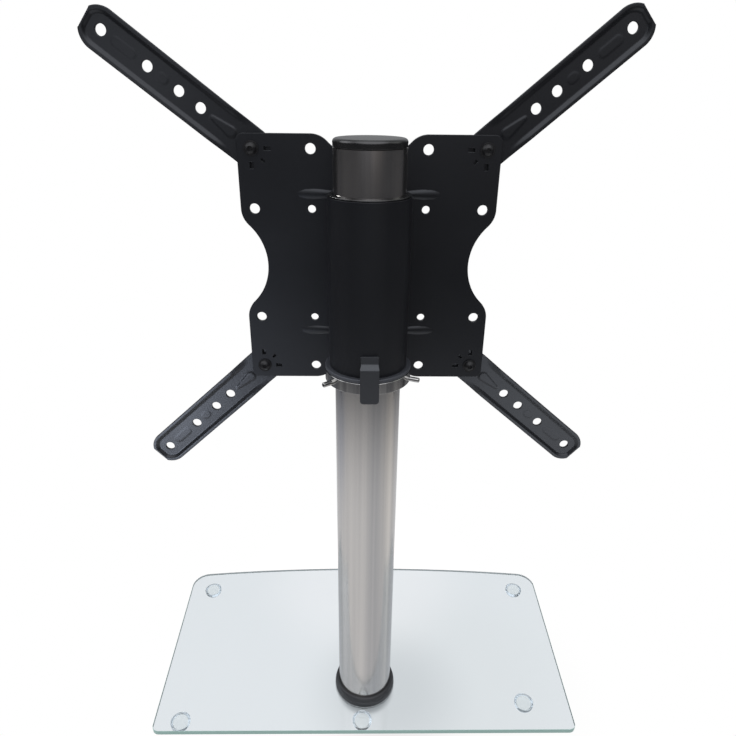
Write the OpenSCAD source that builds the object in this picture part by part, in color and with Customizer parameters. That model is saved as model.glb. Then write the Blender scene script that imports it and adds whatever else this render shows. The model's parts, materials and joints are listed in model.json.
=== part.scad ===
// Table-top television stand with a swivelling wall-style mount.
// The photographed rear side faces -Y, the television goes on the +Y side, +Z is up.
// The origin is under the middle of the glass, on the surface that the feet stand on.

/* [Glass base] */
// Widest width of the glass, near its curved front edge
glass_w = 490; // [400:1:600]
// Width of the glass at its straight rear edge
glass_rear_w = 475; // [380:1:488]
// Depth of the glass, from the straight rear edge to the middle of the curved front edge
glass_d = 252; // [220:1:320]
// Thickness of the toughened glass
glass_t = 6; // [5:0.5:10]
// Radius of the long front curve
glass_front_r = 2260; // [1500:10:4000]
// Radius of the two front corners
glass_front_corner_r = 22; // [12:1:40]
// Radius of the two rear corners
glass_rear_corner_r = 8; // [4:1:14]
// Polished bevel all round the glass
glass_bevel = 0.8; // [0.3:0.1:1.5]
// Hole through the glass for the clamping bolt
glass_hole_d = 12; // [10:0.5:16]

/* [Feet] */
// Height of the clear stick-on feet
foot_h = 9; // [8.5:0.5:14]
// Diameter of a foot against the glass
foot_d = 22; // [16:1:28]
// Diameter of the flat that a foot stands on
foot_flat_d = 12; // [8:1:14]
// Distance of the two front feet from the widest sides of the glass
front_foot_side = 30; // [25:1:90]
// Distance of the two front feet behind the middle of the front curve
front_foot_inset = 38; // [25:1:80]
// Distance of the rear foot on the left in the photograph from the left end of the rear edge
rear_left_foot_side = 28.5; // [20:0.5:80]
// Distance of that foot from the rear edge
rear_left_foot_inset = 15; // [13:1:40]
// Sideways place of the foot behind the pole, from the middle of the glass
rear_middle_foot_x = -3; // [-30:1:30]
// Distance of that foot from the rear edge
rear_middle_foot_inset = 16; // [13:1:22]
// Distance of the rear foot on the right in the photograph from the right end of the rear edge
rear_right_foot_side = 50.5; // [20:0.5:80]
// Distance of that foot from the rear edge
rear_right_foot_inset = 37; // [13:1:50]

/* [Pole] */
// Outside diameter of the pole
pole_od = 60; // [50:1:70]
// Wall of the pole
pole_wall = 1.5; // [1.2:0.1:3]
// Length of the pole
pole_len = 606; // [500:1:800]
// Distance of the pole's axis from the rear edge of the glass
pole_setback = 61; // [55:1:100]
// Height of the plug's head above the pole
cap_h = 7.6; // [6:0.1:12]
// Rounding of the plug's rim
cap_round = 4.8; // [2:0.1:5.5]
// Length of the plug's skirt inside the pole
cap_skirt_h = 16; // [10:1:30]
// Wall of the plug's skirt
cap_skirt_wall = 2; // [1.5:0.1:4]

/* [Base fixings] */
// Diameter of the black ring round the foot of the pole
ring_od = 69; // [66:0.5:80]
// Height of that ring
ring_h = 12; // [8:0.5:20]
// Height at which the ring's shoulder starts
ring_shoulder_h = 6.5; // [4:0.5:7]
// Diameter of the ring's upper rim
ring_top_d = 63; // [62:0.5:65]
// Diameter of the clear washer between the ring and the glass
gasket_od = 70; // [69:0.5:82]
// Thickness of that washer
gasket_t = 1.5; // [1:0.1:3]
// Height of the steel insert in the foot of the pole
insert_h = 14; // [10:1:25]
// Diameter of the clamping bolt
bolt_d = 8; // [6:1:9]
// Length of the clamping bolt under its head
bolt_len = 22; // [20:1:24]
// Diameter of the clamping bolt's head
bolt_head_d = 14; // [12:0.5:18]
// Height of the clamping bolt's head
bolt_head_h = 4.4; // [3:0.1:5]
// Key size of the clamping bolt's socket
bolt_key = 5; // [4:0.5:6]
// Diameter of the steel disc and the rubber washer under the glass
disc_d = 50; // [40:1:58]
// Thickness of the steel disc
disc_t = 2; // [1.5:0.1:2.5]
// Thickness of the rubber washer
pad_t = 1; // [0.5:0.1:1.2]

/* [Mount height] */
// Height of the middle of the mounting plate above the glass
mount_h = 503; // [430:1:530]

/* [Sleeve] */
// Outside diameter of the sleeve that turns on the pole
sleeve_od = 70; // [68:0.5:84]
// Wall of the sleeve
sleeve_wall = 3; // [2:0.1:4]
// Lower end of the sleeve, below the middle of the plate
sleeve_below = 81; // [60:1:95]
// Upper end of the sleeve, above the middle of the plate
sleeve_above = 67.5; // [50:0.5:90]
// Width of the weld's foot on the plate, each side of the middle
weld_foot = 20; // [17:1:24]
// Length of each stretch of weld
weld_len = 34; // [20:1:40]
// Distance between the middles of the weld's stretches
weld_pitch = 50; // [44:1:55]

/* [Bushes] */
// Length of each bush inside the sleeve
bush_len = 22; // [15:1:40]
// Thickness of the upper bush's lip
lip_t = 1.5; // [1:0.1:3]
// Diameter of the upper bush's lip
lip_d = 68; // [66:0.5:70]
// Thickness of the lower bush's flange
flange_t = 3.5; // [2:0.1:5]
// Diameter of the lower bush's flange
flange_d = 78; // [72:1:80]

/* [Locking collar] */
// Outside diameter of the locking collar
collar_od = 78; // [74:1:80]
// Height of the locking collar
collar_h = 10.2; // [8:0.1:16]
// Bevel on the collar's edges
collar_bevel = 0.8; // [0.3:0.1:1.5]
// Diameter of the locking pins
pin_d = 4.5; // [3:0.5:6]
// Length of a locking pin that stands out of the collar
pin_out = 10.5; // [8:0.5:20]
// Direction of the pin on the left in the photograph, in degrees from +X
pin_angle = -143; // [-165:1:-125]
// Key size of the socket in a pin's end
pin_key = 2; // [1.5:0.1:2]

/* [Swivel stop] */
// Width of the strap that hangs over the collar
stop_w = 16.5; // [8:0.5:20]
// Width of the strap at its upper end
stop_top_w = 14; // [8:0.5:20]
// How far the strap's upper part leans outwards at its shoulder
stop_lean = 0.8; // [0:0.1:1.5]
// Thickness of the strap
stop_t = 2; // [1.5:0.1:3]
// Height of the strap's top above the sleeve's lower end
stop_top = 21; // [18:1:40]
// Height of the strap's shoulder above the sleeve's lower end
stop_shoulder = 14.5; // [12:0.5:15]
// Height over which the strap steps outwards
stop_step_h = 4; // [3.5:0.5:7]
// Radius of the strap's bends
stop_bend_r = 2.5; // [0.5:0.5:3]
// Distance of the strap's lower end under the sleeve's lower end
stop_drop = 21.5; // [16:0.5:26]
// Sideways place of the strap
stop_x = 1; // [-5:0.5:5]
// Rounding of the strap's lower corners
stop_corner_r = 3; // [1:0.5:3.5]

/* [Mounting plate] */
// Half the width and half the height of the plate
plate_half = 112; // [108:0.5:125]
// Thickness of the plate
plate_t = 3; // [2.5:0.1:4]
// Radius of the plate's four outer corners
plate_corner_r = 6; // [4:0.5:9]
// Radius of the lobes beside each scallop
lobe_r = 20; // [14:1:24]
// Radius of the scallop in the middle of each side
scallop_r = 50; // [40:1:70]
// Side gap between the plate's bottom relief and the collar
relief_gap = 1.5; // [1:0.5:4]
// Narrow spacing of the television's screws
vesa_narrow = 100; // [100]
// Wide spacing of the television's screws
vesa_wide = 200; // [200]
// Diameter of the four inner holes
inner_hole_d = 7; // [5:0.5:8]
// Diameter of the eight outer holes
outer_hole_d = 9; // [7:0.5:10]
// Distance from an arm's pivot to the middle of an index slot
slot_reach = 13.75; // [13:0.25:14]
// Length of an index slot
slot_len = 5.5; // [3:0.5:5.5]
// Width of an index slot
slot_w = 3.6; // [2:0.1:5]
// Height of the pressed ribs beside the sleeve above and below the plate's middle
plate_rib_z = 63; // [58:1:80]
// Sideways place of the inner end of a pressed rib
plate_rib_start = 22; // [21.5:0.5:30]
// Sideways place of the outer end of a pressed rib
plate_rib_reach = 62; // [50:1:75]
// Height of a pressed rib above the plate
plate_rib_h = 1.3; // [0.8:0.1:2.6]
// Width of a pressed rib
plate_rib_w = 11; // [6:0.5:12]

/* [Arms] */
// Width of an arm
arm_w = 34; // [30:0.5:36]
// Thickness of the arms' steel
arm_t = 2.5; // [2:0.1:3]
// Distances of an arm's four holes from its pivot
arm_hole_1 = 50; // [45:0.1:55]
// Second hole
arm_hole_2 = 70.7; // [65:0.1:75]
// Third hole
arm_hole_3 = 100; // [95:0.1:105]
// Hole at the tip
arm_hole_4 = 141.4; // [135:0.1:160]
// Diameter of the arms' holes
arm_hole_d = 9; // [7:0.5:10]
// Distance from the tip hole to the blunt end
arm_end = 14.5; // [12:0.5:17]
// Height of the raised rim
arm_rim_h = 3; // [1:0.1:3]
// Width of the flat on top of the rim
arm_rim_w = 2.5; // [1.5:0.1:4]
// Width of the slope inside the rim
arm_slope_w = 4.5; // [3:0.1:6]
// Distance from the pivot at which the rim starts to rise
arm_rim_start = 12.5; // [12.5:0.5:25]
// Length over which the rim rises
arm_rim_ramp = 18; // [5:0.5:20]
// Distance from the pivot at which the root rib starts
arm_rib_start = 15; // [15:0.5:20]
// Height of the pressed ribs between the holes
arm_rib_h = 0.8; // [0.5:0.1:1.8]
// Width of the pressed ribs
arm_rib_w = 10; // [6:0.5:12]
// Width of the root rib at its narrow outer end
arm_rib_narrow_w = 4; // [3:0.5:8]
// Angle of the upper left arm above the horizontal
arm_tl_angle = 37.7; // [5:0.1:85]
// Angle of the upper right arm above the horizontal
arm_tr_angle = 40.7; // [5:0.1:85]
// Angle of the lower left arm below the horizontal
arm_bl_angle = 42.1; // [5:0.1:85]
// Angle of the lower right arm below the horizontal
arm_br_angle = 40.4; // [5:0.1:85]

/* [Arm fasteners] */
// Diameter of the arm screws
screw_d = 6; // [4:0.5:6]
// Diameter of the arm screws' domed heads
screw_head_d = 10.5; // [8:0.5:12]
// Height of the arm screws' heads
screw_head_h = 3.3; // [2:0.1:4]
// Key size of the arm screws' sockets
screw_key = 4; // [2.5:0.1:4]
// Diameter of the washers under the heads
washer_d = 12.5; // [11:0.5:16]
// Thickness of those washers
washer_t = 1.2; // [0.8:0.1:2]
// Width across the flats of the arm nuts
nut_af = 10; // [8:0.5:12]
// Thickness of the arm nuts
nut_t = 3.2; // [2.4:0.1:6]

/* [Fits] */
// Radial running clearance of the bushes and the collar on the pole
run_fit = 0.08; // [0.02:0.01:0.1]
// Radial running clearance of an arm on its screw and of a pin in the collar
pin_fit = 0.06; // [0.02:0.01:0.1]
// Radial clearance of the ring, the insert and the plug on the pole
push_fit = 0.1; // [0:0.05:0.2]
// Gap between faces that slide past each other
face_gap = 0.3; // [0.1:0.05:0.5]
// Gap between the strap and the collar that it hangs over
stop_gap = 0.6; // [0.4:0.1:2]

/* [Hidden] */

$fn = 96;
small_fn = 48;
arc_steps = 8;       // chords in each corner arc of an outline
long_arc_steps = 24; // chords in the glass's front curve
eps = 0.01;          // overlap of a cutter past a face

// Heights
glass_bottom = foot_h;
glass_top = glass_bottom + glass_t;
pole_bottom = glass_top + gasket_t;
pole_top = pole_bottom + pole_len;
mount_z = glass_top + mount_h;
sleeve_bottom = mount_z - sleeve_below;
sleeve_top = mount_z + sleeve_above;
flange_bottom = sleeve_bottom - flange_t;
collar_top = flange_bottom - face_gap;
collar_bottom = collar_top - collar_h;

// Places across
pole_y = -glass_d / 2 + pole_setback;
pole_r = pole_od / 2;
pole_bore_r = pole_r - pole_wall;
sleeve_r = sleeve_od / 2;
sleeve_bore_r = sleeve_r - sleeve_wall;
plate_y = pole_y + sleeve_r;
pivot = vesa_wide / 2;
arm_y = plate_y + plate_t;
widest_r = max(collar_od, flange_d) / 2;
relief_w = 2 * (sqrt(widest_r ^ 2 - sleeve_r ^ 2) + relief_gap);
relief_top = plate_half - sleeve_below + face_gap + 0.7;

// Points of an arc from one angle to another
function arc(cx, cy, r, from, to, steps = arc_steps) =
    [for (i = [0:steps]) let (a = from + (to - from) * i / steps) [cx + r * cos(a), cy + r * sin(a)]];

function turned(pts, a) = [for (p = pts) [p.x * cos(a) - p.y * sin(a), p.x * sin(a) + p.y * cos(a)]];

function joined(lists) = [for (l = lists) each l];

// Rounded corner of radius r at b, on the way from a to c
function bend(a, b, c, r, steps = 5) =
    let (
        u = (a - b) / norm(a - b),
        v = (c - b) / norm(c - b),
        half = acos(u * v) / 2,
        middle = b + (u + v) / norm(u + v) * r / sin(half),
        from = b + u * r / tan(half) - middle,
        to = b + v * r / tan(half) - middle
    )
    [for (i = [0:steps]) let (w = from + (to - from) * i / steps) middle + w / norm(w) * r];

function mirrored(pts) = [for (i = [len(pts) - 1:-1:0]) [-pts[i].x, pts[i].y]];

function smooth(x) = let (u = max(0, min(1, x))) u * u * (3 - 2 * u);

// Skin over rings of equally many points, each ring clockwise seen from the first ring's side
module skin(rings) {
    n = len(rings[0]);
    last = len(rings) - 1;
    polyhedron(
        points = joined(rings),
        faces = concat(
            [[for (i = [0:n - 1]) i]],
            [for (k = [0:last - 1], i = [0:n - 1], half = [0, 1])
                let (j = (i + 1) % n)
                half == 0 ? [k * n + i, (k + 1) * n + i, (k + 1) * n + j]
                    : [k * n + i, (k + 1) * n + j, k * n + j]],
            [[for (i = [n - 1:-1:0]) last * n + i]]
        )
    );
}

function lay_flat(pts, z) = [for (p = pts) [p.x, p.y, z]];
function stand_up(pts, y) = [for (p = pts) [p.x, y, p.y]];

module on_pole(z = 0) {
    translate([0, pole_y, z]) children();
}

module on_mount(y = 0) {
    translate([0, y, mount_z]) children();
}

// Cylinder along +Y
module along_y(r, h, fn = small_fn) {
    rotate([-90, 0, 0]) cylinder(r = r, h = h, $fn = fn);
}

module at_pivots() {
    for (sx = [-1, 1], sz = [-1, 1]) translate([sx * pivot, 0, sz * pivot]) children();
}

// Flat ring standing on z = 0
module tube(r_out, r_in, h) {
    difference() {
        cylinder(r = r_out, h = h);
        translate([0, 0, -eps]) cylinder(r = r_in, h = h + 2 * eps);
    }
}

// Half outline of the glass, on the +X side, drawn in by d
function glass_half(d) =
    let (
        half_d = glass_d / 2,
        r1 = glass_rear_corner_r,
        r2 = glass_front_corner_r,
        big_y = half_d - glass_front_r,
        x1 = glass_rear_w / 2 - r1,
        y1 = -half_d + r1,
        x2 = glass_w / 2 - r2,
        y2 = big_y + sqrt((glass_front_r - r2) ^ 2 - x2 ^ 2),
        side = atan2(y2 - y1, x2 - x1) - acos((r1 - r2) / norm([x2 - x1, y2 - y1])),
        front = atan2(y2 - big_y, x2)
    )
    joined([
        arc(x1, y1, r1 - d, -90, side),
        arc(x2, y2, r2 - d, side, front),
        [for (i = [1:long_arc_steps / 2 - 1])
            let (a = front + (90 - front) * i / (long_arc_steps / 2))
            [(glass_front_r - d) * cos(a), big_y + (glass_front_r - d) * sin(a)]]
    ]);

function glass_outline(d) =
    concat(glass_half(d), [[0, glass_d / 2 - d]], mirrored(glass_half(d)));

module glass_base() {
    color([0.72, 0.86, 0.83, 0.45])
    difference() {
        skin([
            lay_flat(glass_outline(glass_bevel), glass_bottom),
            lay_flat(glass_outline(0), glass_bottom + glass_bevel),
            lay_flat(glass_outline(0), glass_top - glass_bevel),
            lay_flat(glass_outline(glass_bevel), glass_top)
        ]);
        on_pole(glass_bottom - 1) cylinder(d = glass_hole_d, h = glass_t + 2);
    }
}

// Domed clear foot, standing on the surface with its wide face stuck to the glass
module foot(x, y) {
    foot_r = foot_d / 2;
    flat_r = foot_flat_d / 2;
    color([0.85, 0.88, 0.88, 0.6])
    translate([x, y, 0])
    rotate_extrude($fn = small_fn)
    polygon(concat(
        [[0, foot_h], [0, 0]],
        [for (i = [0:arc_steps]) let (a = -90 + 90 * i / arc_steps)
            [flat_r + (foot_r - flat_r) * cos(a), foot_h - 1.5 + (foot_h - 1.5) * sin(a)]],
        [[foot_r, foot_h]]
    ));
}

module glass_gasket() {
    color([0.88, 0.9, 0.9, 0.7])
    on_pole(glass_top) tube(gasket_od / 2, glass_hole_d / 2, gasket_t);
}

// Stepped black ring with a sloping shoulder
module foot_ring() {
    r_in = pole_r + push_fit;
    r_out = ring_od / 2;
    r_top = ring_top_d / 2;
    lead = 0.6;
    step = 0.5;
    color([0.1, 0.1, 0.11])
    on_pole(pole_bottom)
    rotate_extrude()
    polygon(concat(
        [[r_in, 0], [r_out - lead, 0], [r_out, lead], [r_out, ring_shoulder_h - step],
         [r_out - step, ring_shoulder_h]],
        [for (i = [1:arc_steps]) let (a = 90 * i / arc_steps)
            [r_top + (r_out - step - r_top) * cos(a),
             ring_shoulder_h + (ring_h - ring_shoulder_h) * sin(a)]],
        [[r_in, ring_h]]
    ));
}

module pole_insert() {
    color([0.55, 0.55, 0.56])
    on_pole(pole_bottom) tube(pole_bore_r - push_fit, bolt_d / 2, insert_h);
}

module base_bolt() {
    head_z = glass_bottom - pad_t - disc_t;
    dome = bolt_head_h * 0.45;
    color([0.7, 0.7, 0.71])
    on_pole(head_z)
    difference() {
        union() {
            cylinder(d = bolt_d, h = bolt_len, $fn = small_fn);
            mirror([0, 0, 1]) cylinder(d = bolt_head_d, h = bolt_head_h - dome, $fn = small_fn);
            translate([0, 0, -bolt_head_h])
                cylinder(d1 = bolt_head_d * 0.72, d2 = bolt_head_d, h = dome, $fn = small_fn);
        }
        translate([0, 0, -bolt_head_h - eps])
            cylinder(d = bolt_key / cos(30), h = bolt_head_h * 0.6, $fn = 6);
    }
}

module base_disc() {
    color([0.6, 0.6, 0.61])
    on_pole(glass_bottom - pad_t - disc_t) tube(disc_d / 2, bolt_d / 2 + 0.25, disc_t);
}

module base_pad() {
    color([0.08, 0.08, 0.08])
    on_pole(glass_bottom - pad_t) tube(disc_d / 2, glass_hole_d / 2, pad_t);
}

module pole() {
    color([0.66, 0.65, 0.63])
    on_pole(pole_bottom) tube(pole_r, pole_bore_r, pole_len);
}

// Push-in plug: a head with a rounded rim and a hollow skirt inside the pole
module pole_cap() {
    skirt_r = pole_bore_r - push_fit;
    skirt_lead = 1;
    side_h = cap_h - cap_round;
    color([0.12, 0.12, 0.13])
    on_pole(pole_top)
    rotate_extrude()
    polygon(concat(
        [[0, cap_h]],
        [[0, 0], [skirt_r - cap_skirt_wall, 0], [skirt_r - cap_skirt_wall, -cap_skirt_h],
         [skirt_r - skirt_lead, -cap_skirt_h], [skirt_r, -cap_skirt_h + skirt_lead],
         [skirt_r, 0], [pole_r, 0]],
        arc(pole_r - cap_round, side_h, cap_round, 0, 90)
    ));
}

// Turned collar with two radial holes, a third of a turn apart
module locking_collar() {
    r_in = pole_r + run_fit;
    r_out = collar_od / 2;
    b = collar_bevel;
    color([0.75, 0.74, 0.72])
    on_pole(collar_bottom)
    difference() {
        rotate_extrude()
        polygon([
            [r_in + b / 2, 0], [r_out - b, 0], [r_out, b], [r_out, collar_h - b],
            [r_out - b, collar_h], [r_in + b / 2, collar_h], [r_in, collar_h - b / 2], [r_in, b / 2]
        ]);
        for (k = [0:1])
            translate([0, 0, collar_h / 2])
            rotate([0, 90, pin_angle + 120 * k])
            translate([0, 0, pole_r - 2])
            cylinder(r = pin_d / 2 + pin_fit, h = collar_od / 2 - pole_r + 4, $fn = small_fn);
    }
}

// Locking pin number k, its inner end just clear of the pole
module locking_pin(k) {
    inner = pole_r + face_gap;
    len = collar_od / 2 + pin_out - inner;
    lead = 0.5;
    r = pin_d / 2;
    color([0.72, 0.71, 0.7])
    on_pole(collar_bottom + collar_h / 2)
    rotate([0, 90, pin_angle + 120 * k])
    translate([0, 0, inner])
    difference() {
        rotate_extrude($fn = small_fn)
            polygon([[0, 0], [r - lead, 0], [r, lead], [r, len - lead], [r - lead, len], [0, len]]);
        translate([0, 0, len - 2]) cylinder(d = pin_key / cos(30), h = 3, $fn = 6);
    }
}

// Sleeve with its weld, which fills the wedge between the sleeve and the plate
module sleeve() {
    weld_leg = sleeve_r - sqrt(sleeve_r ^ 2 - (weld_foot * 0.78) ^ 2);
    weld_root = weld_foot * 0.35;
    color([0.09, 0.09, 0.1])
    union() {
        on_pole(sleeve_bottom) tube(sleeve_r, sleeve_bore_r, sleeve_below + sleeve_above);
        on_pole(mount_z)
        for (side = [0, 1], k = [-1:1])
            mirror([side, 0, 0])
            translate([0, 0, k * weld_pitch - weld_len / 2])
            linear_extrude(weld_len)
            difference() {
                polygon([
                    [weld_root, sleeve_r], [weld_foot, sleeve_r],
                    [weld_foot * 0.78, sleeve_r - weld_leg - 0.4], [weld_root, sleeve_r - weld_leg]
                ]);
                circle(r = sleeve_r - eps);
            }
    }
}

module bush(flange_r, flange_h, lead) {
    r_in = pole_r + run_fit;
    rotate_extrude()
    polygon([
        [r_in + lead, -flange_h], [flange_r - lead, -flange_h], [flange_r, -flange_h + lead],
        [flange_r, -lead], [flange_r - lead, 0], [sleeve_bore_r, 0], [sleeve_bore_r, bush_len - 1],
        [sleeve_bore_r - 0.5, bush_len], [r_in, bush_len], [r_in, -flange_h + lead]
    ]);
}

module upper_bush() {
    color([0.16, 0.16, 0.17])
    on_pole(sleeve_top) mirror([0, 0, 1]) bush(lip_d / 2, lip_t, 0.6);
}

module lower_bush() {
    color([0.15, 0.15, 0.16])
    on_pole(sleeve_bottom) bush(flange_d / 2, flange_t, 0.6);
}

// Bent strap on the sleeve; its lower end hangs over the collar and meets the pins
module swivel_stop() {
    back = max(flange_d, collar_od) / 2 + stop_gap;
    front = back + stop_t;
    flat_y = sleeve_r + stop_t;
    lean_y = flat_y + stop_lean;
    shoulder_low = stop_shoulder - stop_step_h;
    r = stop_corner_r;
    color([0.1, 0.1, 0.11])
    on_pole(sleeve_bottom)
    intersection() {
        difference() {
            translate([stop_x - stop_w / 2, 0, 0])
            rotate([90, 0, 90])
            linear_extrude(stop_w)
            polygon(concat(
                [[-sleeve_r + 2, stop_top], [-flat_y, stop_top]],
                bend([-flat_y, stop_top], [-lean_y, stop_shoulder], [-front, shoulder_low], stop_bend_r),
                bend([-lean_y, stop_shoulder], [-front, shoulder_low], [-front, -stop_drop], stop_bend_r),
                [[-front, -stop_drop], [-back, -stop_drop], [-back, shoulder_low - 0.8],
                 [-sleeve_r + 2, stop_shoulder - 1]]
            ));
            translate([0, 0, -1]) cylinder(r = sleeve_r, h = stop_top + 2);
        }
        // Rounds the lower corners
        translate([stop_x, 0, 0])
        rotate([90, 0, 0])
        linear_extrude(front + 1)
        polygon(concat(
            [[stop_w / 2, shoulder_low], [stop_top_w / 2, stop_top],
             [-stop_top_w / 2, stop_top], [-stop_w / 2, shoulder_low]],
            arc(-stop_w / 2 + r, -stop_drop + r, r, 180, 270),
            arc(stop_w / 2 - r, -stop_drop + r, r, 270, 360)
        ));
    }
}

// One side of the plate's outline, from its corner to the end of its scallop
function plate_side() =
    let (
        c = plate_half - plate_corner_r,
        lobe_x = vesa_narrow / 2,
        lobe_z = plate_half - lobe_r,
        scallop_z = lobe_z + sqrt((lobe_r + scallop_r) ^ 2 - lobe_x ^ 2),
        meet = atan2(scallop_z - lobe_z, -lobe_x),
        scallop_steps = 3 * arc_steps
    )
    joined([
        arc(c, c, plate_corner_r, 0, 90, 6),
        arc(lobe_x, lobe_z, lobe_r, 90, meet),
        [for (i = [1:scallop_steps - 1]) let (a = meet - 180 + (180 - 2 * meet) * i / scallop_steps)
            [scallop_r * cos(a), scallop_z + scallop_r * sin(a)]],
        arc(-lobe_x, lobe_z, lobe_r, 180 - meet, 90)
    ]);

function plate_outline() = joined([for (q = [0:3]) turned(plate_side(), 90 * q)]);

// Solid with an outline given in X and Z, from y0 to y1
module upright(pts, y0, y1) {
    translate([0, y1, 0]) rotate([90, 0, 0]) linear_extrude(y1 - y0) polygon(pts);
}

// Long low dome along X with round ends, pressed out of a sheet towards -Y.
// The sheet lies between y = 0 and y = t; w0 and w1 are the dome's widths at its two ends,
// and h is its height at the wider one. hollow = true gives the groove behind it.
module dome(x0, x1, w0, w1, h, t, hollow = false) {
    w = max(w0, w1);
    axis = (w ^ 2 / 4 - h ^ 2) / (2 * h);
    less = hollow ? t : 0;
    r0 = norm([w0 / 2, axis]) - less;
    r1 = norm([w1 / 2, axis]) - less;
    a0 = x0 + w0 / 2;
    a1 = x1 - w1 / 2;
    lean = asin((r0 - r1) / (a1 - a0));
    intersection() {
        translate([0, axis, 0])
        rotate([0, 90, 0])
        rotate_extrude($fn = small_fn)
        polygon(concat([[0, a0 - r0]],
            [for (i = [1:6]) let (a = -90 + (lean + 90) * i / 6) [r0 * cos(a), a0 + r0 * sin(a)]],
            [for (i = [0:5]) let (a = lean + (90 - lean) * i / 6) [r1 * cos(a), a1 + r1 * sin(a)]],
            [[0, a1 + r1]]));
        translate([x0 - w, -h - 1, -w]) cube([x1 - x0 + 2 * w, h + 1 + (hollow ? t + 1 : t / 2), 2 * w]);
    }
}

module vesa_plate() {
    hole_h = plate_t + 2;
    inner = vesa_narrow / 2;
    outer = vesa_wide / 2;
    color([0.09, 0.09, 0.1])
    on_mount(plate_y)
    difference() {
        union() {
            upright(plate_outline(), 0, plate_t);
            plate_ribs(false);
        }
        plate_ribs(true);
        // Room for the flange and the collar, which are wider than the sleeve
        translate([-relief_w / 2, -1, -plate_half]) cube([relief_w, hole_h, relief_top]);
        for (sx = [-1, 1], sz = [-1, 1]) {
            translate([sx * inner, -1, sz * inner]) along_y(inner_hole_d / 2, hole_h);
            translate([sx * outer, -1, sz * inner]) along_y(outer_hole_d / 2, hole_h);
            translate([sx * inner, -1, sz * outer]) along_y(outer_hole_d / 2, hole_h);
            translate([sx * outer, -1, sz * outer]) {
                along_y(screw_d / 2 + 0.2, hole_h);
                for (a = [0, 45, 90])
                    rotate([0, -(sx > 0 ? 180 : 0) - sx * sz * a, 0])
                    translate([slot_reach - slot_len / 2, 0, -slot_w / 2])
                    cube([slot_len * (a == 45 ? 0.7 : 1), hole_h, slot_w * (a == 45 ? 0.6 : 1)]);
            }
        }
    }
}

module plate_ribs(hollow) {
    for (side = [0, 1], sz = [-1, 1])
        mirror([side, 0, 0])
        translate([0, 0, sz * plate_rib_z])
        dome(plate_rib_start, plate_rib_reach, plate_rib_w * 0.5, plate_rib_w, plate_rib_h, plate_t, hollow);
}

// Outline of an arm that lies along +X, drawn in by d; at the pivot's end it stops at x = back
function arm_end_outline(d, back) =
    let (r = arm_w / 2 - d, cut = acos(arm_end / (arm_w / 2)))
    joined([
        [[back, -r]],
        arc(arm_hole_4, 0, r, -90, -cut, 6),
        arc(arm_hole_4, 0, r, cut, 90, 6),
        [[back, r]]
    ]);

// Tapering plug along the arm: drawn in by d0 at depth y0 and by d1 at the lesser depth y1
module trough(d0, y0, d1, y1) {
    back = -arm_w;
    skin([stand_up(arm_end_outline(d0, back), y0), stand_up(arm_end_outline(d1, back), y1)]);
}

// Curve along which an arm's rims rise, at depth y
function ramp(y) =
    let (n = 8)
    [for (i = [0:n]) [arm_rim_start + arm_rim_ramp * i / n, y - arm_rim_h * smooth(i / n)]];

// Solid across the arm, from a side view given in X and depth
module across(pts) {
    translate([0, 0, -arm_w]) linear_extrude(2 * arm_w) polygon(pts);
}

module arm_blank() {
    far = arm_hole_4 + arm_w;
    web = arm_rim_w + arm_slope_w;
    slope = arm_slope_w / arm_rim_h;
    fold = arm_t * (sqrt(1 + slope ^ 2) - slope);
    difference() {
        intersection() {
            upright(concat(arc(0, 0, arm_w / 2, 90, 270, 3 * arc_steps),
                [for (p = arm_end_outline(0, 0)) if (p.x > 0) p]), -arm_rim_h - 1, arm_t);
            across(concat([[-arm_w, 0]], ramp(0), [[far, -arm_rim_h], [far, arm_t + 1], [-arm_w, arm_t + 1]]));
        }
        // Between the rims
        trough(web, 0, arm_rim_w - slope, -arm_rim_h - 1);
        // Behind the rims
        difference() {
            across(concat(ramp(arm_t), [[far, arm_t - arm_rim_h], [far, arm_t + 2], [arm_rim_start, arm_t + 2]]));
            trough(web - fold + 3 * slope, arm_t + 3, web - fold - slope * (arm_rim_h + 1), arm_t - arm_rim_h - 1);
        }
    }
}

module arm_ribs(hollow) {
    clear = 4.5;
    half = arm_hole_d / 2;
    dome(arm_rib_start, arm_hole_1 - half - clear, arm_rib_w, arm_rib_narrow_w, arm_rib_h, arm_t, hollow);
    dome(arm_hole_2 + half + clear, arm_hole_3 - half - clear,
        arm_rib_w * 0.9, arm_rib_w * 0.9, arm_rib_h, arm_t, hollow);
    dome(arm_hole_3 + half + clear, arm_hole_4 - half - clear,
        arm_rib_w * 0.9, arm_rib_w * 0.9, arm_rib_h, arm_t, hollow);
}

// Pressed arm at an angle from +X, turned about its pivot at [sx, sz]
module arm(sx, sz, angle) {
    direction = sx > 0 ? sz * angle : 180 - sz * angle;
    color([0.1, 0.1, 0.11])
    on_mount(arm_y)
    translate([sx * pivot, 0, sz * pivot])
    rotate([0, -direction, 0])
    difference() {
        union() {
            arm_blank();
            arm_ribs(false);
        }
        arm_ribs(true);
        translate([0, -1, 0]) along_y(screw_d / 2 + pin_fit, arm_t + 2);
        for (s = [arm_hole_1, arm_hole_2, arm_hole_3, arm_hole_4])
            translate([s, -1, 0]) along_y(arm_hole_d / 2, arm_t + 2);
    }
}

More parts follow.
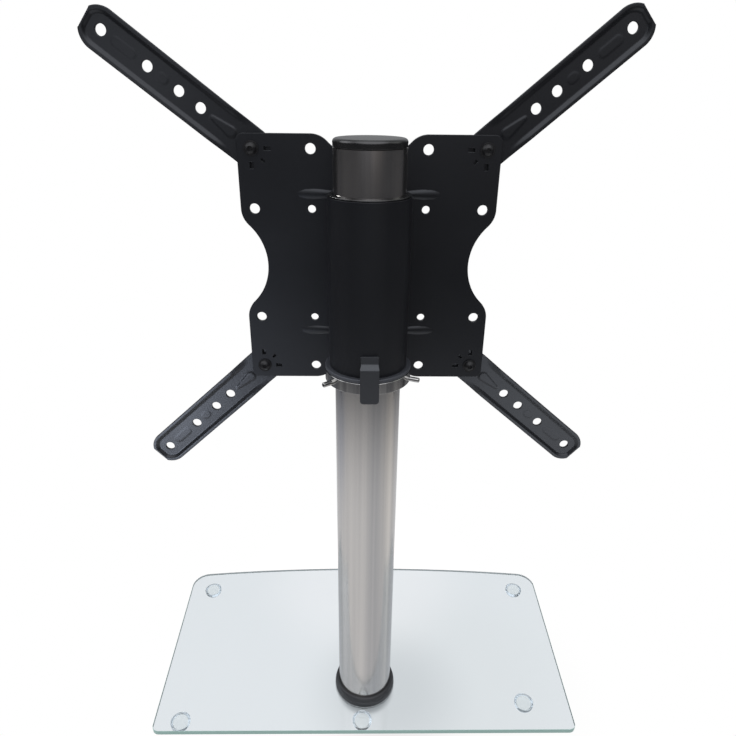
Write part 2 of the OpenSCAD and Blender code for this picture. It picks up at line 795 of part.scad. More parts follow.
module arm_screws() {
    head_y = -washer_t;
    len = washer_t + plate_t + arm_t + face_gap + nut_t + 0.6;
    head_r = screw_head_d / 2;
    dome_r = (head_r ^ 2 + screw_head_h ^ 2) / (2 * screw_head_h);
    color([0.14, 0.14, 0.15])
    on_mount(plate_y)
    at_pivots()
    translate([0, head_y, 0])
    difference() {
        union() {
            along_y(screw_d / 2, len);
            intersection() {
                translate([0, dome_r - screw_head_h, 0]) sphere(r = dome_r, $fn = small_fn);
                translate([0, -screw_head_h - 1, 0]) along_y(head_r, screw_head_h + 1);
            }
        }
        translate([0, -screw_head_h - 1, 0]) along_y(screw_key / 2 / cos(30), 3, 6);
    }
}

module arm_washers() {
    color([0.13, 0.13, 0.14])
    on_mount(plate_y - washer_t)
    at_pivots()
    difference() {
        along_y(washer_d / 2, washer_t);
        translate([0, -1, 0]) along_y(screw_d / 2 + 0.2, washer_t + 2);
    }
}

module arm_nuts() {
    color([0.6, 0.6, 0.61])
    on_mount(arm_y + arm_t + face_gap)
    at_pivots()
    difference() {
        along_y(nut_af / 2 / cos(30), nut_t, 6);
        translate([0, -1, 0]) along_y(screw_d / 2, nut_t + 2);
    }
}

front_foot_x = glass_w / 2 - front_foot_side;
front_foot_y = glass_d / 2 - front_foot_inset;
rear_left_foot_x = rear_left_foot_side - glass_rear_w / 2;
rear_right_foot_x = glass_rear_w / 2 - rear_right_foot_side;
rear_y = -glass_d / 2;

glass_base();
foot(-front_foot_x, front_foot_y);  // front_left_foot
foot(front_foot_x, front_foot_y);  // front_right_foot
foot(rear_left_foot_x, rear_y + rear_left_foot_inset);  // rear_left_foot
foot(rear_middle_foot_x, rear_y + rear_middle_foot_inset);  // rear_middle_foot
foot(rear_right_foot_x, rear_y + rear_right_foot_inset);  // rear_right_foot
glass_gasket();
foot_ring();
pole_insert();
base_bolt();
base_disc();
base_pad();
pole();
pole_cap();
locking_collar();
locking_pin(0);  // left_locking_pin
locking_pin(1);  // right_locking_pin
sleeve();
upper_bush();
lower_bush();
swivel_stop();
vesa_plate();
arm(-1, 1, arm_tl_angle);  // upper_left_arm
arm(1, 1, arm_tr_angle);  // upper_right_arm
arm(-1, -1, arm_bl_angle);  // lower_left_arm
arm(1, -1, arm_br_angle);  // lower_right_arm
arm_screws();
arm_washers();
arm_nuts();
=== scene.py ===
import json
import math

import bmesh
import bpy
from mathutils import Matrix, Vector


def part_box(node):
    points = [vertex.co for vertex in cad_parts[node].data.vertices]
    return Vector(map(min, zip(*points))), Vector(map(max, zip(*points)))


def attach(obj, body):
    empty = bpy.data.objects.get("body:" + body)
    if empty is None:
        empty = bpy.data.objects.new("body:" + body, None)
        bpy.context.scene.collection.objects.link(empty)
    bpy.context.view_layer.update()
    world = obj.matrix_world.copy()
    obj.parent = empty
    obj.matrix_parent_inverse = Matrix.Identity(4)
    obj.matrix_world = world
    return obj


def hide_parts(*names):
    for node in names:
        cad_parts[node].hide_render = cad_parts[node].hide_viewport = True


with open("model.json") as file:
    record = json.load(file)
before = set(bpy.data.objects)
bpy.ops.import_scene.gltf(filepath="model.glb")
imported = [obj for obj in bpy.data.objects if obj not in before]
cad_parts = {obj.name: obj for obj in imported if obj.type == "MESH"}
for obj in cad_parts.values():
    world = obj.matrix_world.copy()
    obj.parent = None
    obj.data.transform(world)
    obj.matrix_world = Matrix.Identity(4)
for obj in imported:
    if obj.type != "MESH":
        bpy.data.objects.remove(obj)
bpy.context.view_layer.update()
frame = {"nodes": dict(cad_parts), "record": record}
nodes = frame["nodes"]
print("frame loaded:", len(nodes), "nodes")

# Places that several pieces share, in metres
poleAxis = (0, -0.065)
plateMiddle = 0.518
pivotReach = 0.1
cutDepth = 0.02  # how deep a cutter goes through sheet metal

# The camera stands behind the stand and looks down on it
cameraSettings = {"place": (-0.00783, -0.57374, 0.66541), "turn": (65.2785, -0.5556, -0.6372), "lens": 29.819,
                  "sensor": 36, "near": 0.01}

# Soft lamps; those that light only one piece also show as a gloss on it
lights = {
    "keyOverhead": {"place": (-0.25, -0.75, 1.9), "aim": (0, 0, 0.45), "size": (1.2, 0.9), "watts": 10},
    "leftSide": {"place": (-1.5, -0.35, 0.9), "aim": (0, 0, 0.4), "size": (0.7, 1.5), "watts": 9},
    "rightSide": {"place": (1.6, -0.25, 0.9), "aim": (0, 0, 0.4), "size": (0.6, 1.4), "watts": 5},
    "farFill": {"place": (0.2, 1.6, 1.2), "aim": (0, 0, 0.4), "size": (1.6, 1.2), "watts": 8},
    "lowGlow": {"place": (-0.46, -0.52, 0.0), "aim": (-0.19, -0.027, 0.33), "size": (0.44, 0.44), "watts": 3.45,
                "tint": (0.90, 0.96, 1.10), "only": "lower_left_arm"},
    "rightGlow": {"place": (0.40, -0.52, 0.03), "aim": (0.19, -0.027, 0.33), "size": (0.55, 0.55), "watts": 1.45,
                  "tint": (0.95, 0.98, 1.04), "only": "lower_right_arm"},
    "plateGlow": {"place": (-0.40, -0.52, 0.03), "aim": (-0.10, -0.030, 0.42), "size": (0.60, 0.60), "watts": 0.75,
                  "tint": (0.88, 0.95, 1.12), "only": "vesa_plate"},
    "upperGlow": {"place": (-0.41, -0.55, 0.63), "aim": (-0.18, -0.027, 0.66), "size": (0.24, 0.24), "watts": 0.12,
                  "tint": (0.96, 0.98, 1.04), "only": "upper_left_arm"},
    "lipGlint": {"place": (-0.48, 0.13, 0.66), "aim": (-0.03, -0.07, 0.585), "size": (0.08, 0.08), "watts": 0.4,
                 "only": "upper_bush"},
}

# What shiny surfaces see above the floor: a dim room with soft bright regions in it
room = {
    "soft": (0.66, 0.67, 0.70),
    "base": (0.035, 0.036, 0.040),
    "regions": [
        {"towards": (0.05, -0.55, 0.83), "edge": 0.62, "full": 0.88, "level": (1.35, 1.36, 1.42)},
        {"towards": (-0.14, -0.99, 0.02), "edge": 0.82, "full": 1.0, "level": (0.10, 0.10, 0.11)},
        {"towards": (0.38, -0.92, -0.10), "edge": 0.90, "full": 0.99, "level": (0.15, 0.13, 0.12)},
        {"towards": (0.0, 0.75, 0.66), "edge": 0.55, "full": 0.95, "level": (0.30, 0.31, 0.32)},
        {"towards": (-0.83, 0.02, 0.55), "edge": 0.90, "full": 0.98, "level": (1.80, 1.82, 1.90)},
        {"towards": (0.85, 0.05, 0.52), "edge": 0.90, "full": 0.98, "level": (0.60, 0.62, 0.60)},
        {"towards": (0.0, 0.98, 0.15), "edge": 0.80, "full": 0.96, "level": (0.11, 0.11, 0.11)},
    ],
}

# What shiny surfaces see on the floor: light round the stand
floorGlow = {
    "soft": (0.72, 0.72, 0.74),
    "base": (0.05, 0.05, 0.055),
    "regions": [
        {"centre": (0.0, -0.05), "full": 0.36, "edge": 1.08, "level": (0.615, 0.62, 0.64)},
        {"centre": (-0.70, 0.25), "full": 0.15, "edge": 0.50, "level": (0.78, 0.81, 0.88), "blend": "MULTIPLY"},
        {"centre": (0.55, -0.10), "full": 0.10, "edge": 0.45, "level": (0.03, 0.02, -0.01)},
    ],
}

# Painted soft shade on the floor under the middle of the glass and towards its right, and a painted lighter patch at
# its far edge, as the floor is seen straight
floorShade = {
    "base": (1.0, 1.0, 1.0),
    "regions": [
        {"centre": (0.001, -0.066), "full": 0.0265, "edge": 0.0355, "level": (0.50, 0.51, 0.52),
         "blend": "MULTIPLY"},
        {"centre": (0.030, -0.070), "full": 0.020, "edge": 0.120, "level": (0.84, 0.845, 0.85),
         "blend": "MULTIPLY"},
        {"centre": (0.100, -0.060), "full": 0.060, "edge": 0.200, "level": (0.96, 0.962, 0.955),
         "blend": "MULTIPLY"},
        # Painted light: a lighter patch at the far edge of the glass
        {"centre": (0.0, 0.125), "full": 0.070, "edge": 0.180, "level": (0.08, 0.06, 0.055)},
    ],
}


# Finishes

def addNode(tree, kind, **values):
    node = tree.nodes.new(kind)
    for key, value in values.items():
        if key in node.inputs:
            node.inputs[key].default_value = value
        else:
            setattr(node, key, value)
    return node


def makeGroup(name, inputs, outputs):
    group = bpy.data.node_groups.new(name, "ShaderNodeTree")
    for socket, kind, start in inputs:
        group.interface.new_socket(name=socket, in_out="INPUT", socket_type=kind).default_value = start
    for socket, kind in outputs:
        group.interface.new_socket(name=socket, in_out="OUTPUT", socket_type=kind)
    return group, addNode(group, "NodeGroupInput"), addNode(group, "NodeGroupOutput")


def groupNoise(group, stretch, scale, detail, rough=0.5):
    place = addNode(group, "ShaderNodeTexCoord")
    turn = addNode(group, "ShaderNodeMapping")
    group.links.new(place.outputs["Object"], turn.inputs["Vector"])
    if stretch:
        group.links.new(stretch, turn.inputs["Scale"])
    texture = addNode(group, "ShaderNodeTexNoise", Scale=1.0, Detail=detail, Roughness=rough)
    group.links.new(turn.outputs["Vector"], texture.inputs["Vector"])
    if scale:
        group.links.new(scale, texture.inputs["Scale"])
    return texture.outputs["Fac"]


number, vector = "NodeSocketFloat", "NodeSocketVector"


def makeGrainGroup():
    inputs = [("Cloud", number, 14.0), ("Grain", number, 1500.0)]
    group, given, result = makeGroup("coatGrain", inputs, [("Cloud", number), ("Grain", number)])
    group.links.new(groupNoise(group, None, given.outputs["Cloud"], 4), result.inputs["Cloud"])
    group.links.new(groupNoise(group, None, given.outputs["Grain"], 2), result.inputs["Grain"])
    return group


# Broad streaks round a metal part are partly its real drawn and turned tone and partly painted reflection bands; the
# fine grain sets only roughness and bump
def makeStreakAndReflectionGroup():
    inputs = [("Broad", vector, (100, 100, 1)), ("Fine", vector, (2500, 2500, 15))]
    group, given, result = makeGroup("drawnStreaksAndPaintedReflections", inputs, [("Broad", number), ("Fine", number)])
    spread = addNode(group, "ShaderNodeMapRange")
    spread.inputs["From Min"].default_value = 0.3
    spread.inputs["From Max"].default_value = 0.7
    group.links.new(groupNoise(group, given.outputs["Broad"], None, 3, 0.55), spread.inputs["Value"])
    group.links.new(spread.outputs["Result"], result.inputs["Broad"])
    group.links.new(groupNoise(group, given.outputs["Fine"], None, 2, 0.6), result.inputs["Fine"])
    return group


def makeSmearGroup():
    group, given, result = makeGroup("surfaceSmear", [("Stretch", vector, (22, 22, 22))], [("Smear", number)])
    group.links.new(groupNoise(group, given.outputs["Stretch"], None, 3), result.inputs["Smear"])
    return group


def makeRoundingGroup():
    group, given, result = makeGroup("roundedEdges", [("Radius", number, 0.0003)], [("Normal", vector)])
    edge = addNode(group, "ShaderNodeBevel", samples=6)
    group.links.new(given.outputs["Radius"], edge.inputs["Radius"])
    group.links.new(edge.outputs["Normal"], result.inputs["Normal"])
    return group


groups = {"grain": makeGrainGroup(), "streaksAndPaintedReflections": makeStreakAndReflectionGroup(),
          "smear": makeSmearGroup(), "rounding": makeRoundingGroup()}


def newMaterial(name):
    material = bpy.data.materials.new(name)
    material.use_nodes = True
    return material, material.node_tree, material.node_tree.nodes["Principled BSDF"]


def useGroup(tree, name, **values):
    node = addNode(tree, "ShaderNodeGroup", node_tree=groups[name])
    for key, value in values.items():
        node.inputs[key].default_value = value
    return node


def setShader(shader, values):
    for key, value in values.items():
        shader.inputs[key].default_value = value


def mixColours(tree, factor, low, high):
    mix = addNode(tree, "ShaderNodeMix", data_type="RGBA")
    tree.links.new(factor, mix.inputs["Factor"])
    for place, value in (("A", low), ("B", high)):
        if isinstance(value, tuple):
            mix.inputs[place].default_value = (*value, 1)
        else:
            tree.links.new(value, mix.inputs[place])
    return mix.outputs["Result"]


def between(tree, factor, low, high):
    spread = addNode(tree, "ShaderNodeMapRange")
    spread.inputs["To Min"].default_value = low
    spread.inputs["To Max"].default_value = high
    tree.links.new(factor, spread.inputs["Value"])
    return spread.outputs["Result"]


def relief(tree, shader, height, depth, radius=0.0):
    bump = addNode(tree, "ShaderNodeBump", Strength=1.0, Distance=depth)
    tree.links.new(height, bump.inputs["Height"])
    if radius:
        tree.links.new(useGroup(tree, "rounding", Radius=radius).outputs["Normal"], bump.inputs["Normal"])
    tree.links.new(bump.outputs["Normal"], shader.inputs["Normal"])


def coated(name, base, worn, rough, grain, depth, radius, specular=0.5, sheen=(1, 1, 1)):
    material, tree, shader = newMaterial(name)
    pattern = useGroup(tree, "grain", Cloud=14.0, Grain=grain)
    tree.links.new(mixColours(tree, pattern.outputs["Cloud"], base, worn), shader.inputs["Base Color"])
    tree.links.new(between(tree, pattern.outputs["Cloud"], rough - 0.05, rough + 0.07), shader.inputs["Roughness"])
    setShader(shader, {"Specular IOR Level": specular, "Specular Tint": (*sheen, 1)})
    relief(tree, shader, pattern.outputs["Grain"], depth, radius)
    return material


def plated(name, base, shade, rough, grain, depth, radius):
    material, tree, shader = newMaterial(name)
    pattern = useGroup(tree, "grain", Cloud=9.0, Grain=grain)
    tree.links.new(mixColours(tree, pattern.outputs["Cloud"], base, shade), shader.inputs["Base Color"])
    tree.links.new(between(tree, pattern.outputs["Grain"], rough - 0.06, rough + 0.08), shader.inputs["Roughness"])
    setShader(shader, {"Metallic": 1.0})
    relief(tree, shader, pattern.outputs["Grain"], depth, radius)
    return material


def streakedWithPaintedReflections(name, darkStreakAndReflection, light, rough, broad, fine, depth, radius=0.0):
    material, tree, shader = newMaterial(name)
    pattern = useGroup(tree, "streaksAndPaintedReflections", Broad=broad, Fine=fine)
    # Painted reflection: the broad streaks run the base colour between a dark band and a light band, which stand in
    # for reflected bands as well as the metal's own streaky tone
    tree.links.new(mixColours(tree, pattern.outputs["Broad"], darkStreakAndReflection, light), shader.inputs["Base Color"])
    tree.links.new(between(tree, pattern.outputs["Fine"], rough - 0.05, rough + 0.07), shader.inputs["Roughness"])
    setShader(shader, {"Metallic": 1.0})
    relief(tree, shader, pattern.outputs["Fine"], depth, radius)
    return material


def clear(name, tint, absorb, density, rough, ior):
    material, tree, shader = newMaterial(name)
    smear = useGroup(tree, "smear").outputs["Smear"]
    paler = tuple(min(1.0, c * 1.01) for c in tint)
    tree.links.new(between(tree, smear, rough, rough + 0.02), shader.inputs["Roughness"])
    tree.links.new(mixColours(tree, smear, tint, paler), shader.inputs["Base Color"])
    setShader(shader, {"Transmission Weight": 1.0, "IOR": ior})
    inside = addNode(tree, "ShaderNodeVolumeAbsorption", Density=density)
    inside.inputs["Color"].default_value = (*absorb, 1)
    tree.links.new(inside.outputs["Volume"], tree.nodes["Material Output"].inputs["Volume"])
    return material


def edgeOfGlass():
    # Green from outside; from within, a nearly white base colour, painted light standing in for the brightness the
    # edge shows through the sheet, so that the sheet stays clear
    material, tree, shader = newMaterial("polishedGlassEdge")
    inside = addNode(tree, "ShaderNodeNewGeometry").outputs["Backfacing"]
    smear = useGroup(tree, "smear", Stretch=(24, 60, 480)).outputs["Smear"]
    outer = mixColours(tree, smear, (0.262, 0.417, 0.376), (0.348, 0.506, 0.464))
    # painted light: faces seen from inside the sheet take the near-white colour
    tree.links.new(mixColours(tree, inside, outer, (0.95, 0.97, 0.965)), shader.inputs["Base Color"])
    tree.links.new(between(tree, smear, 0.06, 0.12), shader.inputs["Roughness"])
    setShader(shader, {"IOR": 1.52, "Transmission Weight": 0.12})
    return material


finishes = {
    "clear_glass": clear("toughenedGlass", (0.822, 0.842, 0.882), (0.30, 0.80, 0.66), 9.0, 0.0, 1.52),
    "clear_bumper": clear("clearBumper", (0.96, 0.98, 0.98), (0.8, 0.9, 0.9), 4.0, 0.03, 1.46),
    "clear_plastic": clear("clearWasher", (0.95, 0.96, 0.96), (0.8, 0.85, 0.85), 6.0, 0.12, 1.49),
    "black_plastic": coated("smoothBlackPlastic", (0.0035, 0.0036, 0.0038), (0.0055, 0.0056, 0.0058),
                            0.25, 1300, 0.00002, 0.0005, 1.0),
    "satin_plastic": coated("satinBlackPlastic", (0.022, 0.023, 0.026), (0.030, 0.031, 0.034),
                            0.42, 1800, 0.00003, 0.0005),
    "black_rubber": coated("blackRubber", (0.012, 0.012, 0.012), (0.022, 0.021, 0.02),
                           0.75, 1800, 0.00006, 0.0003, 0.3),
    "plated_steel": plated("zincPlate", (0.60, 0.61, 0.63), (0.52, 0.53, 0.50), 0.34, 420, 0.00001, 0.0003),
    # The pole and the collar carry painted reflections, dark and light bands in their base colour, besides their real
    # brushed and turned streaks
    "stainless": streakedWithPaintedReflections("brushedPoleWithPaintedReflections", (0.45, 0.447, 0.443), (0.78, 0.745, 0.70),
                          0.17, (58, 58, 0.4), (2600, 2600, 12), 0.000004),
    "turned_stainless": streakedWithPaintedReflections("turnedStainlessWithPaintedReflections", (0.22, 0.22, 0.23), (0.74, 0.73, 0.70),
                                 0.15, (150, 150, 2), (30, 30, 3500), 0.000003, 0.0003),
    "black_coat": coated("blackPowderCoat", (0.0032, 0.0034, 0.0044), (0.0048, 0.0052, 0.0066),
                         0.34, 1500, 0.000012, 0.0007, 0.66, (0.91, 0.945, 1.0)),
    "black_screw": coated("blackOxide", (0.005, 0.005, 0.006), (0.008, 0.008, 0.009),
                          0.40, 900, 0.00001, 0.0003, 0.5),
}
glassEdge = edgeOfGlass()
# Painted light: the strap gets its own copy of the black powder coat with a base colour about three times lighter,
# standing in for the light that falls on the strap
strapCoatPaintedLighter = coated("strapPowderCoatPaintedLighter", (0.0090, 0.0098, 0.0120), (0.0125, 0.0132, 0.0160),
                   0.44, 1500, 0.000012, 0.0004, 1.0, (0.91, 0.95, 1.0))
# Painted light: the lower bush's flange gets a bluer, lighter copy of the satin plastic, standing in for the bluish
# light that falls on it
flangePlasticPaintedLight = coated("flangePlasticPaintedLight", (0.024, 0.026, 0.032), (0.032, 0.034, 0.041),
                       0.55, 1800, 0.00002, 0.0005, 1.0, (0.90, 0.94, 1.0))

slotOf = {part["node"]: part["material_slot"] for part in frame["record"]["subparts"]}
for name, piece in nodes.items():
    # the lower bush takes the painted-light copy of the satin plastic
    material = flangePlasticPaintedLight if name == "lower_bush" else finishes[slotOf[name]]
    if not piece.material_slots:
        piece.data.materials.append(material)
    for place in piece.material_slots:
        place.material = material
print("finishes set:", len(finishes) + 3)


# Modelling helpers

standIns = {}  # the new piece that stands for each node


def polar(radius, angle):
    return radius * math.cos(math.radians(angle)), radius * math.sin(math.radians(angle))


def ease(value):
    value = max(0.0, min(1.0, value))
    return value * value * (3 - 2 * value)


def deselectAll():
    bpy.ops.object.select_all(action="DESELECT")


def startPiece(name):
    piece = bpy.context.object
    piece.name = name
    piece.data.name = name
    bpy.ops.object.mode_set(mode="EDIT")
    bpy.ops.mesh.select_mode(type="VERT")
    bpy.ops.mesh.select_all(action="SELECT")
    return piece


def pick(piece, kind, test):
    bpy.ops.object.mode_set(mode="EDIT")
    bpy.ops.mesh.select_mode(type=kind)
    bpy.ops.mesh.select_all(action="DESELECT")
    bpy.ops.object.mode_set(mode="OBJECT")
    parts = {"VERT": piece.data.vertices, "EDGE": piece.data.edges, "FACE": piece.data.polygons}[kind]
    for part in parts:
        part.select = test(part)
    bpy.ops.object.mode_set(mode="EDIT")


def turned(name, profile, centre, steps=96, closed=False):
    # Extrudes and widens a circle along a profile of radius and height
    radius, height = profile[0]
    deselectAll()
    bpy.ops.mesh.primitive_circle_add(vertices=steps, radius=radius, fill_type="NOTHING" if closed else "NGON",
                                      location=(centre[0], centre[1], height))
    piece = startPiece(name)
    for nextRadius, nextHeight in profile[1:] + ([profile[0]] if closed else []):
        bpy.ops.mesh.extrude_region_move(TRANSFORM_OT_translate={"value": (0, 0, nextHeight - height)})
        scale = nextRadius / radius
        bpy.ops.transform.resize(value=(scale, scale, 1), center_override=(centre[0], centre[1], nextHeight))
        radius, height = nextRadius, nextHeight
    bpy.ops.object.mode_set(mode="OBJECT")
    return piece


def arcEnd(arc, angle, place):
    u, v, radius = arc[:3]
    across, along = polar(radius, angle)
    return Vector(place(u + across, v + along))


def drawOutline(name, arcs, place, axis):
    # Arcs are (u, v, radius, start, end, steps); straight lines join them, and the closed outline is filled
    here = arcEnd(arcs[0], arcs[0][3], place)
    deselectAll()
    bpy.ops.mesh.primitive_plane_add(size=0.001, location=here)
    piece = startPiece(name)
    bpy.ops.mesh.merge(type="CENTER")
    for arc in arcs:
        u, v, radius, first, last, steps = arc
        start = arcEnd(arc, first, place)
        if (start - here).length > 1e-7:
            bpy.ops.mesh.extrude_region_move(TRANSFORM_OT_translate={"value": start - here})
        here = start
        if steps:
            bpy.ops.mesh.spin(steps=steps, angle=math.radians(first - last), center=place(u, v), axis=axis)
            here = arcEnd(arc, last, place)
    bpy.ops.mesh.select_all(action="SELECT")
    bpy.ops.mesh.remove_doubles(threshold=0.000002)
    bpy.ops.mesh.edge_face_add()
    return piece


def cornerArcs(points, radii, steps=8):
    # Turns a list of corners and their radii into arcs
    arcs = []
    for k, corner in enumerate(points):
        here = Vector(corner)
        back = (Vector(points[k - 1]) - here).normalized()
        ahead = (Vector(points[(k + 1) % len(points)]) - here).normalized()
        if not radii[k]:
            arcs.append((corner[0], corner[1], 0.0, 0.0, 0.0, 0))
            continue
        half = back.angle(ahead) / 2
        middle = here + (back + ahead).normalized() * radii[k] / math.sin(half)
        start = here + back * radii[k] / math.tan(half) - middle
        end = here + ahead * radii[k] / math.tan(half) - middle
        first = math.degrees(math.atan2(start.y, start.x))
        sweep = math.degrees(math.atan2(start.x * end.y - start.y * end.x, start.dot(end)))
        arcs.append((middle.x, middle.y, radii[k], first, first + sweep, steps))
    return arcs


def mergeAndTurnOut():
    bpy.ops.mesh.select_all(action="SELECT")
    bpy.ops.mesh.remove_doubles(threshold=0.000001)
    bpy.ops.mesh.normals_make_consistent(inside=False)


def tidyMesh():
    bpy.ops.object.mode_set(mode="EDIT")
    mergeAndTurnOut()
    bpy.ops.object.mode_set(mode="OBJECT")


def thicken(piece, move):
    bpy.ops.mesh.select_all(action="SELECT")
    bpy.ops.mesh.extrude_region_move(TRANSFORM_OT_translate={"value": move})
    mergeAndTurnOut()
    bpy.ops.object.mode_set(mode="OBJECT")


def applyPlace(piece):
    deselectAll()
    piece.select_set(True)
    bpy.context.view_layer.objects.active = piece
    bpy.ops.object.transform_apply(location=True, rotation=True, scale=True)


def addModifier(piece, kind, **values):
    modifier = piece.modifiers.new(kind.lower(), kind)
    for key, value in values.items():
        setattr(modifier, key, value)
    bpy.context.view_layer.objects.active = piece
    bpy.ops.object.modifier_apply(modifier=modifier.name)


def roundEdges(piece, width, angle):
    addModifier(piece, "BEVEL", width=width, segments=3, limit_method="ANGLE", angle_limit=math.radians(angle))


def combine(piece, tools, operation="DIFFERENCE"):
    deselectAll()
    for tool in tools:
        tool.select_set(True)
    bpy.context.view_layer.objects.active = tools[0]
    if len(tools) > 1:
        bpy.ops.object.join()
    addModifier(piece, "BOOLEAN", operation=operation, solver="EXACT", object=tools[0])
    bpy.data.objects.remove(tools[0])


def drill(place, radius, length, tip=90, turn=0, steps=48):
    deselectAll()
    bpy.ops.mesh.primitive_cylinder_add(vertices=steps, radius=radius, depth=length, location=place,
                                        rotation=(math.radians(tip), 0, math.radians(turn)))
    return bpy.context.object


def block(place, size, turn=0.0):
    deselectAll()
    bpy.ops.mesh.primitive_cube_add(size=1, location=place, rotation=(0, turn, 0), scale=size)
    return bpy.context.object


def copyOf(piece, name, place, turn=0.0):
    twin = piece.copy()
    twin.data = piece.data.copy()
    twin.name = name
    twin.data.name = name
    twin.location = place
    twin.rotation_euler = (0, turn, 0)
    bpy.context.scene.collection.objects.link(twin)
    applyPlace(twin)
    return twin


def pieceName(node, kind):
    first, second = node.split("_")[:2]
    return first + second.title() + kind


def finishPiece(piece, materials, body, replaced, angle=35):
    applyPlace(piece)
    tidyMesh()
    bpy.ops.object.shade_smooth_by_angle(angle=math.radians(angle))
    addModifier(piece, "WEIGHTED_NORMAL", keep_sharp=True)
    for material in materials:
        piece.data.materials.append(material)
    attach(piece, body)
    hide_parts(replaced)
    standIns[replaced] = piece


# Foot

glassSettings = {
    "width": 0.490, "rearWidth": 0.475, "depth": 0.252, "bottom": 0.009, "top": 0.015, "bevel": 0.0008,
    "frontRadius": 2.260, "frontCorner": 0.022, "rearCorner": 0.008,
    "hole": 0.006, "nearHole": 0.02}  # faces within nearHole of the hole keep the clear finish


def buildGlass():
    g = glassSettings
    halfDepth, rear, front = g["depth"] / 2, g["rearCorner"], g["frontCorner"]
    bowY = halfDepth - g["frontRadius"]
    x1, y1 = g["rearWidth"] / 2 - rear, rear - halfDepth
    x2 = g["width"] / 2 - front
    y2 = bowY + math.sqrt((g["frontRadius"] - front) ** 2 - x2 ** 2)
    side = math.degrees(math.atan2(y2 - y1, x2 - x1) - math.acos((rear - front) / math.hypot(x2 - x1, y2 - y1)))
    bow = math.degrees(math.atan2(y2 - bowY, x2))
    arcs = [(x1, y1, rear, -90, side, 12), (x2, y2, front, side, bow, 20),
            (0, bowY, g["frontRadius"], bow, 180 - bow, 48),
            (-x2, y2, front, 180 - bow, 180 - side, 20), (-x1, y1, rear, 180 - side, 270, 12)]
    piece = drawOutline("clearGlassBase", arcs, lambda u, v: (u, v, g["bottom"]), (0, 0, 1))
    thicken(piece, (0, 0, g["top"] - g["bottom"]))
    applyPlace(piece)
    mesh = piece.data

    def isLevel(edge):
        one, two = (mesh.vertices[k].co for k in edge.vertices)
        return abs(one.z - two.z) < 1e-5

    pick(piece, "EDGE", isLevel)
    bpy.ops.mesh.bevel(offset=g["bevel"], segments=3, affect="EDGES")
    bpy.ops.object.mode_set(mode="OBJECT")
    combine(piece, [drill((*poleAxis, g["top"]), g["hole"], 0.03, tip=0)])
    finishPiece(piece, [finishes["clear_glass"], glassEdge], "stand", "glass_base", 20)
    for face in piece.data.polygons:
        away = abs(face.center.x) + abs(face.center.y - poleAxis[1])
        face.material_index = int(abs(face.normal.z) < 0.9 and away > g["nearHole"])
    print("glass made")


feetSettings = {
    "height": 0.009, "radius": 0.011, "flat": 0.006, "gap": 0.00005, "wall": 0.0015, "round": 0.0004,
    "places": {
        "front_left_foot": (-0.215, 0.088), "front_right_foot": (0.215, 0.088), "rear_left_foot": (-0.209, -0.111),
        "rear_middle_foot": (-0.003, -0.110), "rear_right_foot": (0.187, -0.089)}}


def buildFeet():
    # One domed bumper, copied to its five places
    f = feetSettings
    top, low = f["height"] - f["gap"], f["gap"]
    rise = top - low - f["wall"]
    profile = [(f["flat"] * 0.4, low), (f["flat"] * 0.8, low)]
    for angle in range(-90, 1, 9):
        out, up = polar(1, angle)
        profile.append((f["flat"] + (f["radius"] - f["flat"]) * out, low + rise * (1 + up)))
    profile += [(f["radius"], top - f["round"]), (f["radius"] - f["round"], top)]
    bumper = turned("bumper", profile, (0, 0), 64)
    applyPlace(bumper)
    for node, (x, y) in f["places"].items():
        piece = copyOf(bumper, pieceName(node, "Bumper"), (x, y, 0))
        finishPiece(piece, [finishes["clear_bumper"]], "stand", node)
    bpy.data.objects.remove(bumper)
    print("feet made:", len(f["places"]))


washerSettings = {"inner": 0.006, "outer": 0.035, "low": 0.01503, "high": 0.01647, "round": 0.0003}


def buildWasher():
    w = washerSettings
    profile = [(w["inner"], w["low"]), (w["outer"] - w["round"], w["low"]), (w["outer"], w["low"] + w["round"]),
               (w["outer"], w["high"] - w["round"]), (w["outer"] - w["round"], w["high"]), (w["inner"], w["high"])]
    piece = turned("clearWasher", profile, poleAxis, closed=True)
    finishPiece(piece, [finishes["clear_plastic"]], "stand", "glass_gasket")
    print("washer made")


# Arms: pressed sheet whose rims fade out towards the pivot, so the mesh is laid point by point

armSettings = {
    "width": 0.034, "thick": 0.0025, "round": 0.0005,
    "end": 0.0145,  # from the last hole to the cut end
    "face": -0.02697,  # a hair clear of the plate's far side
    "rim": 0.0019, "rimFlat": 0.0026, "slope": 0.0036, "endShift": 0.0012,
    "rimStart": 0.0125, "rampStart": 0.0145, "rimRamp": 0.022, "rampRound": 0.75,
    "holes": (0.050, 0.0707, 0.100, 0.1414), "holeRadius": 0.0045, "pivotRadius": 0.00306,
    "beadSlope": 0.0020,
    "beads": (  # start, stop, half width at each, height
        (0.015, 0.041, 0.0054, 0.0026, 0.0005),
        (0.0800, 0.0915, 0.0047, 0.0047, 0.0002),
        (0.1095, 0.1325, 0.0047, 0.0047, 0.0002)),
    "reach": 0.0165,
    "rows": (  # distances from the arm's edge at which the mesh has a row
        0.0, 0.0009, 0.0016, 0.0021, 0.0026, 0.0030, 0.0035, 0.0040, 0.0045, 0.0050, 0.0055, 0.0060, 0.0066,
        0.0075, 0.0088, 0.0100, 0.0108, 0.0114, 0.0120, 0.0126, 0.0132, 0.0138, 0.0144, 0.0150, 0.0157, 0.0165),
    "arms": {  # side, level and the angle at rest
        "upper_left": (-1, 1, 37.7), "upper_right": (1, 1, 40.7),
        "lower_left": (-1, -1, 42.1), "lower_right": (1, -1, 40.4)}}


